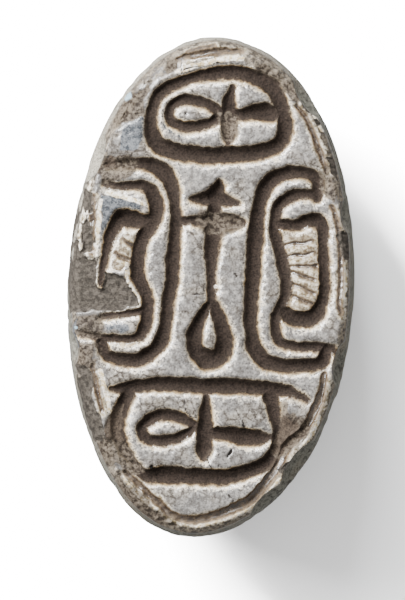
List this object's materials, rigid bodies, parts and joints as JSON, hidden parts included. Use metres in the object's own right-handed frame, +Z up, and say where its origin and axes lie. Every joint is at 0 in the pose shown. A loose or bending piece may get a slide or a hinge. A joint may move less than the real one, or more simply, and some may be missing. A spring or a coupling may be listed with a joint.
{
  "type": "scaraboid seal amulet",
  "caption": "Small oval amulet of glazed stone with a domed back, a flat face carved with ovals, looped crosses and upright snakes, and a string bore along its length.",
  "frame": {"origin": "middle of the small flat at the bottom of the domed back, on which the amulet lies", "axes": "+Z up out of the carved face, +Y along the stone towards the top of the design, +X to the right of the design"},
  "size_m": [0.0103, 0.018, 0.0064],
  "materials": {
    "glazed_steatite": "satin, worn glaze with earth in the cuts"
  },
  "bodies": {
    "root": {"scaraboid_body": "glazed_steatite"}
  },
  "joints": []
}
